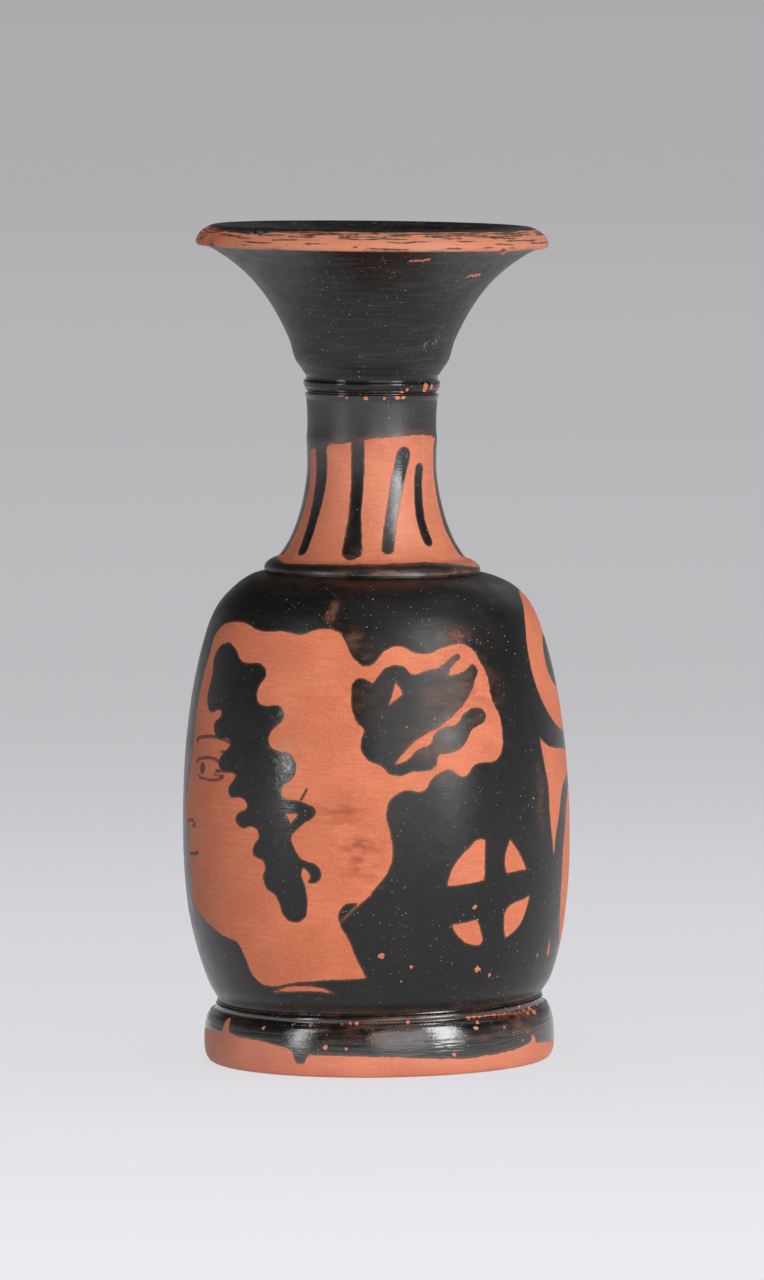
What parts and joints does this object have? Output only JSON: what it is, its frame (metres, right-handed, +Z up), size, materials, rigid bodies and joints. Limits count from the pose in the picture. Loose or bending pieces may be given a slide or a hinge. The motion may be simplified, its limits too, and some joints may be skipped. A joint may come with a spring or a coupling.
{
  "type": "miniature lekythos",
  "caption": "Small red-figure oil flask: wide turned foot, drum-like hollow body, slender neck, trumpet mouth and a strap handle at the back; stands on its foot and pours a thin stream.",
  "frame": {"origin": "on the table under the wheel axis, at the middle of the foot's resting ring", "axes": "+Z up along the wheel axis, +Y towards the strap handle, -Y the painted front"},
  "size_m": [0.0512, 0.0512, 0.11],
  "materials": {
    "fired_clay": "matt, fine-grained orange-red fired clay",
    "black_gloss": "semi-gloss black slip, thinning to brown, worn and speckled",
    "luting_slip": "matt fired slip"
  },
  "bodies": {
    "root": {"foot": "fired_clay", "foot_slip": "luting_slip", "body": "black_gloss", "neck_slip": "luting_slip", "neck": "fired_clay", "mouth_slip": "luting_slip", "mouth": "black_gloss", "handle": "black_gloss", "handle_top_slip": "luting_slip", "handle_root_slip": "luting_slip"}
  },
  "joints": []
}
